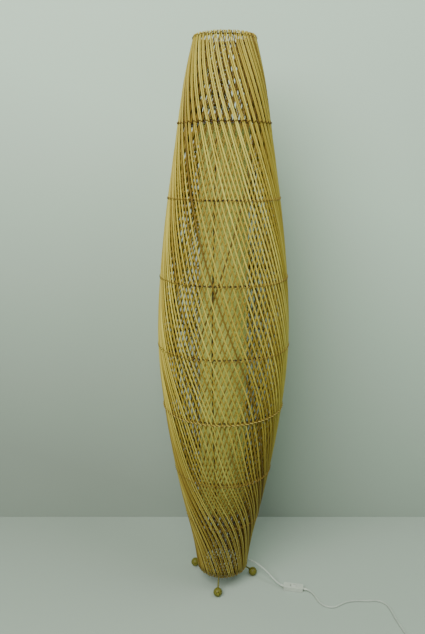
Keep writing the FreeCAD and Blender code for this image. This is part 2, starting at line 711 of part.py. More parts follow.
def make_plug(cord_end):
    """A flat two-pin plug lying on its broad side; local Z runs from the cord to the pins."""
    place = Placement(cord_end - Vector(0.05, 0, 0), Rotation(UP, Vector(-1, 0, 0)))
    boot = DOC.addObject("Part::Cone", "plug_boot")
    bind(boot, "Radius1", D["relief_tip"])
    bind(boot, "Radius2", D["relief_root"])
    bind(boot, "Height", D["boot_length"])
    sub_part(boot, "plug_boot", place)
    width, thick = D["plug_width"], D["plug_thickness"]
    shell = body("plug_body")
    outline = [
        (-(D["plug_back"] / 2), 0), (D["plug_back"] / 2, 0), (width / 2, D["plug_length"] * 0.45),
        (width / 2, D["plug_length"]), (-(width / 2), D["plug_length"]),
        (-(width / 2), D["plug_length"] * 0.45),
    ]
    solid = pad(shell, polygon_sketch(shell, "XZ_Plane", outline), thick)
    solid.Midplane = True
    DOC.recompute()
    start = place.Base - Vector(size("boot_length") + 0.05, 0, 0)
    flat = Rotation(Vector(0, -1, 0), Vector(0, 0, 1), Vector(-1, 0, 0), "XYZ")
    sub_part(shell, "plug_body", Placement(start, flat))
    pins = []
    for way in (-1, 1):
        foot = Vector(way * size("pin_spacing") / 2, 0, size("plug_length") + 0.05)
        pins.append(Part.makeCylinder(size("pin_radius"), size("pin_length"), foot))
    feature("plug_pins", Part.makeCompound(pins), Placement(start, flat))


# ---------------------------------------------------------------- build and write


def check_and_write():
    DOC.recompute()
    for item in DOC.Objects:
        if {"Invalid", "Error"} & set(item.State):
            raise RuntimeError(f"{item.Name} did not recompute: {item.State}")
    os.makedirs("parts", exist_ok=True)
    for item in SUB_PARTS:
        shape = item.Shape
        if shape.isNull() or not shape.isValid() or not shape.Solids:
            raise RuntimeError(f"{item.Label} has no valid solid")
        shape.exportStep(f"parts/{item.Label}.step")
    print(len(SUB_PARTS), "sub-parts written")


make_lattice()
make_ribs_and_feet()
make_sleeve()
make_spider()
make_conduit()
make_grip()
make_holder("upper", 0, D["upper_holder_height"])
make_holder("lower", size("bracket_offset"), D["lower_holder_height"])
make_switch()
make_plug(make_cords())
check_and_write()
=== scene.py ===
"""The looks of a tall reed floor lamp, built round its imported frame. Metres, +Z up, front towards -Y."""
import math

import bmesh
import bpy
import numpy as np
from mathutils import Matrix, Vector


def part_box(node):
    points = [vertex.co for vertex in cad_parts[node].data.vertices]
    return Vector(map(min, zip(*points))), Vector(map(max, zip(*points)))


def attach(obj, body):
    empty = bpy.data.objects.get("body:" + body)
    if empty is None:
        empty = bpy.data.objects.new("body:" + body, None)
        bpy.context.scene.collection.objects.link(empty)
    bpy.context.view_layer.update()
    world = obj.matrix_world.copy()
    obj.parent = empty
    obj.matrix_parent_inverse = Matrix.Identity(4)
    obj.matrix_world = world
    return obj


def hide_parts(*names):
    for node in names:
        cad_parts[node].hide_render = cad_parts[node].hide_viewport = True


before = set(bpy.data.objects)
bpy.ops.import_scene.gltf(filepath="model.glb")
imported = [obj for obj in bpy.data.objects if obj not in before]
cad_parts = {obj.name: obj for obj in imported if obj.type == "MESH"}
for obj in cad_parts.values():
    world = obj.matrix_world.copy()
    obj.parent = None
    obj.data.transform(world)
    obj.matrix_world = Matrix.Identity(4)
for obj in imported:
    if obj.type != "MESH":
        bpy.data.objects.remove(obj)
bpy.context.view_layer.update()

TAU = 2 * math.pi
rng = np.random.default_rng(7)

# ---------------------------------------------------------------- camera

CAMERA_PLACE = (-0.029, -1.544, 1.203)
CAMERA_DOWN = 14.6  # degrees below level
LENS = 34.07
SENSOR_WIDTH = 36

cam_data = bpy.data.cameras.new("camera")
cam_data.lens = LENS
cam_data.sensor_width = SENSOR_WIDTH
camera = bpy.data.objects.new("camera", cam_data)
camera.location = CAMERA_PLACE
camera.rotation_euler = (math.radians(90 - CAMERA_DOWN), 0, 0)
bpy.context.scene.collection.objects.link(camera)
bpy.context.scene.camera = camera

# ---------------------------------------------------------------- shader helpers

LAMP_HEIGHT = 1.5  # the cane's painted shade is graded over it


class Shader:
    """A small hand for wiring one material's nodes."""

    def __init__(self, name):
        self.material = bpy.data.materials.new(name)
        self.material.use_nodes = True
        self.tree = self.material.node_tree
        self.bsdf = self.tree.nodes["Principled BSDF"]

    def node(self, kind, **values):
        made = self.tree.nodes.new(f"ShaderNode{kind}")
        for key, value in values.items():
            if key in made.inputs:
                made.inputs[key].default_value = value
            else:
                setattr(made, key, value)
        return made

    def link(self, source, target):
        self.tree.links.new(source, target)

    def set(self, **values):
        for key, value in values.items():
            self.bsdf.inputs[key.replace("_", " ")].default_value = value

    def coordinates(self, scale=(1, 1, 1), uv=False):
        """Object or UV coordinates, stretched."""
        source = self.node("TexCoord").outputs["UV" if uv else "Object"]
        mapping = self.node("Mapping")
        mapping.inputs["Scale"].default_value = scale
        self.link(source, mapping.inputs["Vector"])
        return mapping.outputs["Vector"]

    def noise(self, vector, scale, detail=3.0, roughness=0.5):
        made = self.node("TexNoise", Scale=scale, Detail=detail, Roughness=roughness)
        self.link(vector, made.inputs["Vector"])
        return made.outputs["Fac"]

    def ramp(self, fac, stops):
        """stops is a list of (place, colour)."""
        made = self.node("ValToRGB")
        elements = made.color_ramp.elements
        while len(elements) < len(stops):
            elements.new(0.5)
        for element, (place, colour) in zip(elements, stops):
            element.position = place
            element.color = (*colour, 1)
        self.link(fac, made.inputs["Fac"])
        return made.outputs["Color"]

    def mix(self, fac, a, b, blend="MIX"):
        made = self.node("Mix", data_type="RGBA", blend_type=blend)
        for socket, value in ((made.inputs[0], fac), (made.inputs[6], a), (made.inputs[7], b)):
            if isinstance(value, (int, float)):
                socket.default_value = value
            elif isinstance(value, tuple):
                socket.default_value = (*value, 1)
            else:
                self.link(value, socket)
        return made.outputs[2]

    def maths(self, operation, a, b=0.5):
        made = self.node("Math", operation=operation)
        for socket, value in zip(made.inputs, (a, b)):
            if isinstance(value, (int, float)):
                socket.default_value = value
            else:
                self.link(value, socket)
        return made.outputs[0]

    def attribute(self, name):
        made = self.node("Attribute")
        made.attribute_name = name
        return made.outputs["Fac"]

    def colour(self, source):
        self.link(source, self.bsdf.inputs["Base Color"])

    def rough(self, fac, low, high):
        made = self.node("MapRange")
        made.inputs["To Min"].default_value = low
        made.inputs["To Max"].default_value = high
        self.link(fac, made.inputs["Value"])
        self.link(made.outputs["Result"], self.bsdf.inputs["Roughness"])

    def bump(self, height, strength, distance):
        made = self.node("Bump")
        made.inputs["Strength"].default_value = strength
        made.inputs["Distance"].default_value = distance
        self.link(height, made.inputs["Height"])
        self.link(made.outputs["Normal"], self.bsdf.inputs["Normal"])


def cane_material():
    """Round cane: straw to honey by the reed, with fibre streaks along it and a dry waxy skin. The reed's
    tone also carries its layer's painted light and shade, and painted shade darkens the cane towards the
    bottom and a little towards the top.
    """
    s = Shader("cane")
    s.set(Specular_IOR_Level=0.25)
    fibre = s.noise(s.coordinates((260, 5, 1), uv=True), 1.0, 4)
    blotch = s.noise(s.coordinates((40, 9, 1), uv=True), 1.0, 2)
    tone_and_shade = s.attribute("tone_and_shade")
    by_reed_and_layer_shade = s.ramp(tone_and_shade, [
        (0.0, (0.14, 0.080, 0.010)), (0.28, (0.33, 0.23, 0.030)), (0.55, (0.57, 0.465, 0.068)),
        (0.85, (0.74, 0.66, 0.135)), (1.0, (0.84, 0.79, 0.21)),
    ])
    streaks = s.ramp(fibre, [(0.3, (0.46, 0.36, 0.20)), (0.62, (1, 1, 1))])
    patches = s.ramp(blotch, [(0.35, (0.55, 0.42, 0.26)), (0.6, (1, 1, 1))])
    streaked = s.mix(0.55, by_reed_and_layer_shade, streaks, "MULTIPLY")
    patchy = s.mix(0.35, streaked, patches, "MULTIPLY")
    split = s.node("SeparateXYZ")
    s.link(s.coordinates((1, 1, 1 / LAMP_HEIGHT)), split.inputs[0])
    # painted shade: the cane is darkened by height towards the bottom, and a little towards the top
    painted_height_shade = s.ramp(split.outputs[2], [
        (0.08, (0.62, 0.57, 0.60)), (0.24, (0.70, 0.66, 0.66)), (0.42, (1, 1, 1)), (0.78, (1, 1, 1)),
        (0.88, (0.88, 0.86, 0.82)), (1.0, (0.84, 0.82, 0.78)),
    ])
    s.colour(s.mix(1.0, patchy, painted_height_shade, "MULTIPLY"))
    s.rough(fibre, 0.42, 0.68)
    s.bump(fibre, 0.5, 0.0004)
    return s.material


def wire_material(name, colour, worn, roughness=0.5):
    """Painted wire whose paint has thinned in spots."""
    s = Shader(name)
    s.set(Metallic=0.35, Specular_IOR_Level=0.5)
    spots = s.noise(s.coordinates((1, 1, 1)), 140.0, 4)
    s.colour(s.ramp(spots, [(0.42, colour), (0.72, worn)]))
    s.rough(spots, roughness - 0.12, roughness + 0.15)
    s.bump(spots, 0.25, 0.0002)
    return s.material


def twine_material(name, dark, light):
    """Two-ply twisted yarn: ply bands round it and fuzz."""
    s = Shader(name)
    s.set(Roughness=0.95, Specular_IOR_Level=0.1)
    ply = s.node("TexWave", wave_type="BANDS", bands_direction="DIAGONAL")
    ply.inputs["Scale"].default_value = 1.0
    ply.inputs["Distortion"].default_value = 1.2
    s.link(s.coordinates((160, 330, 1), uv=True), ply.inputs["Vector"])
    fuzz = s.noise(s.coordinates((900, 900, 900)), 1.0, 3)
    s.colour(s.mix(fuzz, dark, light))
    s.bump(ply.outputs["Fac"], 0.8, 0.0004)
    return s.material


def sleeve_material():
    """Pale cloth: slubs that cross, and faint clouds."""
    s = Shader("sleeve_cloth")
    s.set(Roughness=0.85, Sheen_Weight=0.12, Specular_IOR_Level=0.25)
    across = s.noise(s.coordinates((1100, 60, 1), uv=True), 1.0, 3)
    along = s.noise(s.coordinates((60, 1100, 1), uv=True), 1.0, 3)
    weave = s.maths("MAXIMUM", across, along)
    clouds = s.noise(s.coordinates((9, 9, 1), uv=True), 1.0, 3)
    cloth = s.ramp(weave, [(0.45, (0.65, 0.70, 0.18)), (0.75, (0.78, 0.84, 0.29))])
    cloudy = s.ramp(clouds, [(0.3, (0.78, 0.74, 0.55)), (0.7, (1, 1, 1))])
    s.colour(s.mix(0.3, cloth, cloudy, "MULTIPLY"))
    s.bump(weave, 0.35, 0.0004)
    return s.material


def ball_material():
    """Olive-stained turned wood: end grain rings at the poles and growth lines round the sides."""
    s = Shader("olive_wood")
    s.set(Specular_IOR_Level=0.25)
    rings = s.node("TexWave", wave_type="RINGS", rings_direction="X")
    rings.inputs["Scale"].default_value = 120.0
    rings.inputs["Distortion"].default_value = 5.0
    rings.inputs["Detail"].default_value = 3.0
    s.link(s.coordinates(), rings.inputs["Vector"])
    pores = s.noise(s.coordinates((90, 90, 1400)), 1.0, 3)
    grain = s.ramp(rings.outputs["Fac"], [(0.15, (0.095, 0.090, 0.010)), (0.75, (0.24, 0.23, 0.035))])
    dark_pores = s.ramp(pores, [(0.35, (0.4, 0.36, 0.2)), (0.6, (1, 1, 1))])
    s.colour(s.mix(0.4, grain, dark_pores, "MULTIPLY"))
    s.rough(pores, 0.28, 0.45)
    s.bump(pores, 0.2, 0.0003)
    return s.material


def moulded_material(name, colour, roughness, grain=900.0, coat=0.0, through=0.0):
    """Moulded plastic with the fine spark-eroded grain of its mould and faint handling marks."""
    s = Shader(name)
    s.set(Specular_IOR_Level=0.5, Coat_Weight=coat, Coat_Roughness=0.2)
    if through:
        s.set(Subsurface_Weight=through, Subsurface_Radius=(0.004, 0.004, 0.003), Subsurface_Scale=0.5)
    skin = s.noise(s.coordinates((1, 1, 1)), grain, 2)
    marks = s.noise(s.coordinates((1, 1, 1)), 28.0, 4)
    dirty = tuple(0.88 * c for c in colour)
    s.colour(s.ramp(marks, [(0.35, dirty), (0.6, colour)]))
    s.rough(marks, roughness + 0.08, roughness - 0.05)
    s.bump(skin, 0.12, 0.0002)
    return s.material


def metal_material(name, colour, roughness, stretch=(1, 1, 40)):
    """Plated metal with fine drawing lines."""
    s = Shader(name)
    s.set(Metallic=1.0)
    lines = s.noise(s.coordinates(stretch), 60.0, 4)
    s.colour(s.ramp(lines, [(0.3, tuple(0.75 * c for c in colour)), (0.7, colour)]))
    s.rough(lines, roughness, roughness + 0.15)
    s.bump(lines, 0.1, 0.0001)
    return s.material


MATERIALS = {
    "cane": cane_material(),
    "hoop": wire_material("hoop_paint", (0.035, 0.022, 0.012), (0.12, 0.075, 0.04)),
    "bare_wire": wire_material("galvanised_wire", (0.36, 0.35, 0.32), (0.52, 0.51, 0.48), 0.42),
    "leg": wire_material("leg_paint", (0.14, 0.135, 0.022), (0.25, 0.235, 0.06), 0.45),
    "dark_twine": twine_material("dark_twine", (0.070, 0.036, 0.008), (0.22, 0.125, 0.034)),
    "light_twine": twine_material("light_twine", (0.50, 0.38, 0.075), (0.80, 0.68, 0.20)),
    "brown_twine": twine_material("brown_twine", (0.16, 0.090, 0.020), (0.42, 0.29, 0.075)),
    "sleeve": sleeve_material(),
    "ball": ball_material(),
    "flex": moulded_material("flex_sheath", (0.49, 0.55, 0.49), 0.5, 500.0, 0.0, 0.1),
    "switch": moulded_material("switch_moulding", (0.58, 0.635, 0.56), 0.32, 1400.0, 0.1, 0.25),
    "rocker": moulded_material("rocker_moulding", (0.66, 0.71, 0.64), 0.25, 1400.0, 0.2, 0.2),
    "holder": moulded_material("holder_moulding", (0.80, 0.79, 0.73), 0.4, 1200.0),
    "opal": moulded_material("opal_glass", (0.88, 0.88, 0.84), 0.22, 300.0, 0.4, 0.3),
    "steel": metal_material("zinc_plate", (0.62, 0.61, 0.57), 0.3),
    "nickel": metal_material("nickel_plate", (0.74, 0.72, 0.68), 0.16),
    "brass": metal_material("brass", (0.74, 0.55, 0.24), 0.25),
}

# ---------------------------------------------------------------- mesh helpers

GRAIN_SHIFT = 9  # metres of grain that each tube may start into


def frames_along(points):
    """Tangents, and two directions across them that turn as little as they can."""
    p = np.asarray(points, float)
    t = np.gradient(p, axis=0)
    t /= np.linalg.norm(t, axis=1)[:, None]
    start = np.array((0.0, 0.0, 1.0)) if abs(t[0][2]) < 0.9 else np.array((1.0, 0.0, 0.0))
    n = np.empty_like(p)
    n[0] = np.cross(np.cross(t[0], start), t[0])
    n[0] /= np.linalg.norm(n[0])
    for i in range(1, len(p)):
        v = n[i - 1] - t[i] * np.dot(n[i - 1], t[i])
        n[i] = v / np.linalg.norm(v)
    return t, n, np.cross(t, n)


class MeshStore:
    """Collects tubes and other rows of points, then makes one mesh of them."""

    def __init__(self):
        self.verts, self.faces, self.uvs, self.tones = [], [], [], []
        self.count = 0

    def grid(self, rows, uv_u, uv_v, tone_and_shade=0.5, close_ends=True):
        """rows is (n, m, 3): n closed rings of m points each. tone is a number or one per ring."""
        n, m = rows.shape[:2]
        base = self.count
        self.verts.append(rows.reshape(-1, 3))
        self.tones.append(np.repeat(np.broadcast_to(np.asarray(tone_and_shade, float), (n,)), m))
        self.count += n * m
        i, j = np.meshgrid(np.arange(n - 1), np.arange(m), indexing="ij")
        k = (j + 1) % m
        quads = np.stack([i * m + j, i * m + k, (i + 1) * m + k, (i + 1) * m + j], -1).reshape(-1, 4)
        us = np.stack([j, j + 1, j + 1, j], -1).reshape(-1, 4) * (uv_u / m)
        vs = np.stack([uv_v[i], uv_v[i], uv_v[i + 1], uv_v[i + 1]], -1).reshape(-1, 4)
        self.faces.extend((quads + base).tolist())
        self.uvs.append(np.stack([us, vs], -1).reshape(-1, 2))
        if close_ends:
            first = (base + np.arange(m))[::-1].tolist()
            last = (base + (n - 1) * m + np.arange(m)).tolist()
            self.faces.extend([first, last])
            self.uvs.append(np.zeros((2 * m, 2)))

    def tube(self, points, radius, sides=8, tone_and_shade=0.5, rounded=0.0):
        """A tube along points; radius is a number or one per point.

        rounded is the share of the radius that the two ends are drawn in by.
        """
        p = np.asarray(points, float)
        r = np.broadcast_to(np.asarray(radius, float), (len(p),)).copy()
        if rounded:
            r[0] *= 1 - rounded
            r[-1] *= 1 - rounded
        _, a, b = frames_along(p)
        angle = TAU * np.arange(sides) / sides
        cos, sin = np.cos(angle)[None, :, None], np.sin(angle)[None, :, None]
        ring = cos * a[:, None, :] + sin * b[:, None, :]
        rows = p[:, None, :] + ring * r[:, None, None]
        length = np.concatenate([[0], np.cumsum(np.linalg.norm(np.diff(p, axis=0), axis=1))])
        self.grid(rows, TAU * float(r.mean()), length + rng.uniform(0, GRAIN_SHIFT), tone_and_shade)

    def make(self, name, material):
        mesh = bpy.data.meshes.new(name)
        mesh.from_pydata(np.concatenate(self.verts).tolist(), [], self.faces)
        layer = mesh.uv_layers.new(name="UVMap")
        layer.data.foreach_set("uv", np.concatenate(self.uvs).ravel())
        tone_and_shade = mesh.attributes.new("tone_and_shade", "FLOAT", "POINT")
        tone_and_shade.data.foreach_set("value", np.concatenate(self.tones))
        mesh.polygons.foreach_set("use_smooth", [len(f) == 4 for f in self.faces])
        mesh.materials.append(MATERIALS[material])
        mesh.update()
        item = bpy.data.objects.new(name, mesh)
        bpy.context.scene.collection.objects.link(item)
        return item


def finish_piece(item, body, slot, *nodes):
    """Seats a piece on its body and in place of the CAD nodes it stands for; slot is not used."""
    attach(item, body)
    if nodes:
        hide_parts(*nodes)
    return item


# ---------------------------------------------------------------- cords

CORD_DIA = 0.0056
LAMP_ROUTE = [
    (0.03496, 0.01272, 0.0400), (0.0479, 0.01743, 0.0400), (0.0605, 0.0214, 0.0402),
    (0.0730, 0.0223, 0.0405), (0.0850, 0.0185, 0.0405), (0.0955, 0.0113, 0.0398),
    (0.1055, 0.0030, 0.0386), (0.1170, -0.0068, 0.0360), (0.1295, -0.0188, 0.0312),
    (0.1420, -0.0308, 0.0240), (0.1510, -0.0388, 0.0180), (0.1600, -0.0452, 0.0122),
    (0.1685, -0.0502, 0.0084), (0.1772, -0.05314, 0.0066),
]
FLOOR_ROUTE = [
    (0.2334, -0.06403, 0.0066), (0.2465, -0.0672, 0.0054), (0.2565, -0.0755, 0.0038),
    (0.263, -0.088, 0.0030), (0.2675, -0.104, 0.0028), (0.275, -0.1205, 0.0028),
    (0.2865, -0.131, 0.0028), (0.3005, -0.1348, 0.0028), (0.315, -0.1326, 0.0028),
    (0.3325, -0.121, 0.0028), (0.352, -0.1115, 0.0028), (0.380, -0.108, 0.0028),
    (0.408, -0.110, 0.0028), (0.428, -0.107, 0.0028), (0.4423, -0.1098, 0.0028),
    (0.4538, -0.118, 0.0028), (0.461, -0.130, 0.0028), (0.464, -0.145, 0.0028),
    (0.467, -0.172, 0.0028), (0.472, -0.203, 0.0028), (0.479, -0.233, 0.0028),
    (0.4835, -0.261, 0.0028), (0.4845, -0.285, 0.0028), (0.483, -0.303, 0.0028),
]
PLUG_ROUTE = [
    (0.438, -0.3526, 0.0084), (0.426, -0.3532, 0.0082), (0.412, -0.3528, 0.0074),
    (0.396, -0.3526, 0.0068), (0.383, -0.3526, 0.0068),
]
COIL_STEPS = 14  # points in each turn
COIL_RUN_ON = 3  # points past the last whole turn
LAYER_TURNS = 3
TURN_PITCH = CORD_DIA * 0.97  # the turns are pressed together a little
CLIMB_TURNS = 0.7  # share of a turn over which the cord climbs to the upper layer


def coil_turns():
    """Six turns, wound clockwise from above: three inwards on the floor, then three outwards on top.

    The last turn runs on to the near side, where the cord leaves for the plug.
    """
    low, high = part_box("cord_coil")
    centre = (low + high) / 2
    outer = (high.x - low.x) / 2 - CORD_DIA / 2
    points = []
    for k in range(1, 2 * LAYER_TURNS * COIL_STEPS + COIL_RUN_ON + 1):
        way = k / COIL_STEPS
        inwards = min(way, LAYER_TURNS - 0.5)
        outwards = max(min(max(way - LAYER_TURNS, 0), LAYER_TURNS) - 0.5, 0)
        radius = outer - TURN_PITCH * inwards + TURN_PITCH * outwards
        climb = min(max((way - (LAYER_TURNS - CLIMB_TURNS / 2)) / CLIMB_TURNS, 0), 1)
        angle = -TAU * way
        points.append((
            centre.x + radius * math.cos(angle), centre.y + radius * math.sin(angle),
            CORD_DIA / 2 + CORD_DIA * climb,
        ))
    return points


def spline_through(points):
    """The smooth curve that a cord follows, from the first point to the last and close by the others."""
    data = bpy.data.curves.new("route", "CURVE")
    data.dimensions = "3D"
    data.resolution_u = 6
    spline = data.splines.new("NURBS")
    spline.points.add(len(points) - 1)
    for point, co in zip(spline.points, points):
        point.co = (*co, 1)
    spline.order_u = 3
    spline.use_endpoint_u = True
    item = bpy.data.objects.new("route", data)
    mesh = bpy.data.meshes.new_from_object(item)
    path = np.array([v.co[:] for v in mesh.vertices])
    bpy.data.meshes.remove(mesh)
    bpy.data.objects.remove(item)
    bpy.data.curves.remove(data)
    return path


def make_cord(name, points, *nodes):
    path = spline_through(points)
    store = MeshStore()
    store.tube(path, CORD_DIA / 2, 14)
    return finish_piece(store.make(name, "flex"), "lamp", "cord", *nodes), path


lamp_cord, lamp_path = make_cord("lamp_cord", LAMP_ROUTE, "cord_lamp_to_switch")
floor_cord, floor_path = make_cord(
    "floor_cord", FLOOR_ROUTE + coil_turns() + PLUG_ROUTE,
    "cord_switch_to_coil", "cord_coil", "cord_coil_to_plug",
)

# ---------------------------------------------------------------- the skin of the lattice

ROWS = ["rim", "row_one", "row_two", "row_three", "row_four", "row_five", "row_six", "row_seven", "hem"]
HOOP_INSET = 0.0116  # from the lattice's skin to a hoop's centre line
HOOP_DIA = 0.004
NECK = (1.390, 0.0985)  # height and skin radius between the rim and row one
ANKLE = (0.139, 0.086)  # the same between row seven and the hem
REED_BOTTOM, REED_TOP = (corner.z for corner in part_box("outer_reeds"))
PAIRS = 42
REED_DIA = 0.0036
PAIR_GAP = 0.0003
LAYER_STEP = 0.0046  # from the outer layer's centre lines to the inner layer's
SKIN_GAP = 0.0001
LEANS = {  # degrees off upright, in the stretch below each level
    "rim": 15.5, "neck": 15.5, "row_one": 15.5, "row_two": 17, "row_three": 19.5, "row_four": 20,
    "row_five": 16.5, "row_six": 22, "row_seven": 18, "ankle": 18,
}
BOUND_IN_PAIRS = ("rim", "row_one", "row_seven", "hem")


def row_level(row):
    """Height and skin radius at a tied row, from the hoop inside it."""
    low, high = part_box(f"{row}_hoop")
    hoop_centre = (high.x - low.x) / 2 - (high.z - low.z) / 2
    return (low.z + high.z) / 2, hoop_centre + HOOP_INSET


LEVELS = sorted([row_level(row) for row in ROWS] + [NECK, ANKLE])


def natural_spline(xs, ys):
    """Second derivatives of the natural cubic through the points."""
    n = len(xs)
    gap = np.diff(xs)
    a = np.eye(n)
    b = np.zeros(n)
    for i in range(1, n - 1):
        a[i, i - 1], a[i, i], a[i, i + 1] = gap[i - 1], 2 * (gap[i - 1] + gap[i]), gap[i]
        b[i] = 6 * ((ys[i + 1] - ys[i]) / gap[i] - (ys[i] - ys[i - 1]) / gap[i - 1])
    return np.linalg.solve(a, b)


LEVEL_Z = np.array([z for z, _ in LEVELS])
LEVEL_R = np.array([r for _, r in LEVELS])
LEVEL_BEND = natural_spline(LEVEL_Z, LEVEL_R)


def along_spline(z, zs, values, bend):
    """The natural cubic's value at z; bend is what natural_spline found."""
    z = np.asarray(z, float)
    i = np.clip(np.searchsorted(zs, z) - 1, 0, len(zs) - 2)
    gap = zs[i + 1] - zs[i]
    a, b = (zs[i + 1] - z) / gap, (z - zs[i]) / gap
    curve = ((a**3 - a) * bend[i] + (b**3 - b) * bend[i + 1]) * gap**2 / 6
    return a * values[i] + b * values[i + 1] + curve


def skin_radius(z):
    """Outer radius of the lattice at any height."""
    return along_spline(z, LEVEL_Z, LEVEL_R, LEVEL_BEND)


def row_turns():
    """How far a reed has wound round at each tied row; there the two layers cross."""
    down = [("rim", row_level("rim")), ("neck", NECK)]
    down += [(row, row_level(row)) for row in ROWS[1:-1]] + [("ankle", ANKLE), ("hem", row_level("hem"))]
    turn = 0.0
    found = {"rim": 0.0}
    for (above, (z_a, r_a)), (below, (z_b, r_b)) in zip(down, down[1:]):
        turn += math.tan(math.radians(LEANS[above])) * (z_a - z_b) / ((r_a + r_b) / 2)
        step = math.pi / PAIRS if below in BOUND_IN_PAIRS else math.pi / PAIRS / 2
        found[below] = round(turn / step) * step
    return [found[row] for row in ROWS]


ROW_Z = np.array([row_level(row)[0] for row in ROWS])
TURN_Z = ROW_Z[::-1]
TURN_AT = np.array(row_turns()[::-1])
TURN_BEND = natural_spline(TURN_Z, TURN_AT)


def reed_turn(z):
    """How far a reed has wound round, going down from the rim."""
    return along_spline(z, TURN_Z, TURN_AT, TURN_BEND)


def together(z):
    """1 where the reeds are bound two by two, 0 where they are spread evenly."""
    z = np.asarray(z, float)
    top_pairs, top_even = row_level("row_one")[0], row_level("row_two")[0]
    low_even, low_pairs = row_level("row_six")[0], row_level("row_seven")[0]
    upper = (z - top_even) / (top_pairs - top_even)
    lower = (low_even - z) / (low_even - low_pairs)
    share = np.clip(np.maximum(upper, lower), 0, 1)
    return share * share * (3 - 2 * share)


def polar(radius, azimuth, z):
    """Points round the lamp's axis; azimuth 0 is the front."""
    radius, azimuth, z = np.broadcast_arrays(radius, azimuth, z)
    return np.stack([radius * np.sin(azimuth), -radius * np.cos(azimuth), z], -1)


# ---------------------------------------------------------------- reeds


BAY_STEPS = 8  # lengths of a reed between two rows
FREE_FROM = 0.07  # a reed this far from a row is free of its tie
WAVE = 1.45  # the length of a reed's slowest curve
RIM_END = 1.43  # the reeds thin from here up
HEM_END = 0.34  # they thin from here down, and from here down the inner ones get painted shade and the outer ones painted light
NECK_OPEN = 1.24  # from here up the inner ones get painted shade and the outer ones painted light
DRIFT, MOST_DRIFT = 0.008, 0.013
PAIR_SWAY, REED_SWAY, REED_SINK, MOST_SINK = 0.0012, 0.0009, 0.00045, 0.0008
THINNEST, THICKEST = 0.0013, 0.0020


def reed_heights():
    """Heights down a reed, in even steps from row to row."""
    stops = [REED_TOP, *ROW_Z[1:-1], REED_BOTTOM]
    steps = np.concatenate([np.linspace(a, b, BAY_STEPS + 1)[:-1] for a, b in zip(stops, stops[1:])])
    return np.append(steps, REED_BOTTOM)


def held(z):
    """0 at a tied row and 1 midway between two, so that reeds wander only where nothing ties them."""
    near = np.abs(z[:, None] - ROW_Z[None, :]).min(1)
    return np.clip(near / FREE_FROM, 0, 1) ** 0.8


def fade(distance, over):
    """0 where distance is negative, rising to 1 over the length given."""
    return np.clip(distance / over, 0, 1)


def wander(z, waves):
    """A slow random curve down a reed, of about unit size."""
    return sum(
        rng.normal(0, 1) * np.sin(wave * TAU * z / WAVE + rng.uniform(0, TAU)) / wave for wave in waves
    )


def make_reeds(name, node, inset, way, painted_layer_light, painted_end_shade):
    """One layer of canes: way is 1 or -1 for its lean, inset puts its centre lines under the skin. Its
    tone is scaled by a painted light level for the whole layer, and by painted shade at its top and bottom
    ends, which is painted light where that figure is negative.
    """
    store = MeshStore()
    z = reed_heights()
    radius = skin_radius(z) - inset
    loose = held(z)
    paired = together(z)
    low_end = fade(HEM_END - z, 0.1)
    slimmer = 1.08 - 0.08 * paired - 0.2 * fade(z - RIM_END, 0.04) - 0.13 * low_end
    painted_shade = 1 - painted_end_shade * np.maximum(fade(z - NECK_OPEN, 0.08), low_end)
    even = math.pi / PAIRS / 2
    beside = (REED_DIA + PAIR_GAP) / math.cos(math.radians(max(LEANS.values()))) / 2 / radius
    for pair in range(PAIRS):
        drift = np.clip(rng.normal(0, DRIFT), -MOST_DRIFT, MOST_DRIFT)
        sway = PAIR_SWAY * wander(z, (1.7, 3.1)) * loose
        pair_tone = rng.normal(0, 0.06)
        for hand in (-1, 1):
            half = paired * beside * (1 + 0.12 * loose * abs(rng.normal())) + (1 - paired) * even
            own = REED_SWAY * wander(z, (3.1, 6.3)) * loose * (1 - 0.8 * paired)
            turn = TAU * pair / PAIRS + way * reed_turn(z)
            azimuth = turn + hand * half + drift + (sway + own) / radius
            sunk = np.abs(REED_SINK * wander(z, (2.3, 5.1))) * loose
            knots = np.sin(z * rng.uniform(18, 40) + rng.uniform(0, TAU))
            thick = REED_DIA / 2 * rng.normal(1, 0.04) * (1 + 0.03 * knots) * slimmer
            path_z = z.copy()
            path_z[0] += rng.uniform(-0.0014, 0.0003)
            path_z[-1] += rng.uniform(-0.0004, 0.0024)
            # painted shade: each reed's random tone is scaled by its layer's painted light level and by
            # the painted shade at its ends
            tone_and_shade = np.clip((rng.beta(6.0, 5.0) + pair_tone) * painted_layer_light * painted_shade, 0.0, 0.92)
            points = polar(radius - np.clip(sunk, 0, MOST_SINK), azimuth, path_z)
            store.tube(points, np.clip(thick, THINNEST, THICKEST), 8, tone_and_shade, rounded=0.12)
    finish_piece(store.make(name, "cane"), "lamp", "reed", node)


OUTER_INSET = REED_DIA / 2 + SKIN_GAP
# the outer layer is painted lighter, a little more at its ends; the inner layer is painted darker as
# shade, most at its ends
make_reeds("outer_cane", "outer_reeds", OUTER_INSET, way=1, painted_layer_light=1.08, painted_end_shade=-0.12)
make_reeds("inner_cane", "inner_reeds", REED_DIA / 2 + LAYER_STEP + SKIN_GAP, way=-1, painted_layer_light=0.62,
           painted_end_shade=0.65)

# ---------------------------------------------------------------- twined rows

TWINE = {  # each row's material and strand radius
    "rim": ("dark_twine", 0.0005), "row_one": ("dark_twine", 0.00095),
    "row_two": ("brown_twine", 0.0007), "row_three": ("brown_twine", 0.0007),
    "row_four": ("brown_twine", 0.0007), "row_five": ("brown_twine", 0.0006),
    "row_six": ("brown_twine", 0.0009), "row_seven": ("brown_twine", 0.0006),
    "hem": ("brown_twine", 0.0005),
}
STITCH_STEPS = 12  # points in each stitch
ROPE_STEPS = 10  # points in each twist of the rope
ROPE_RADIUS = 0.0009
ROPE_OUT = 0.0012  # from the skin to the rope's centre line


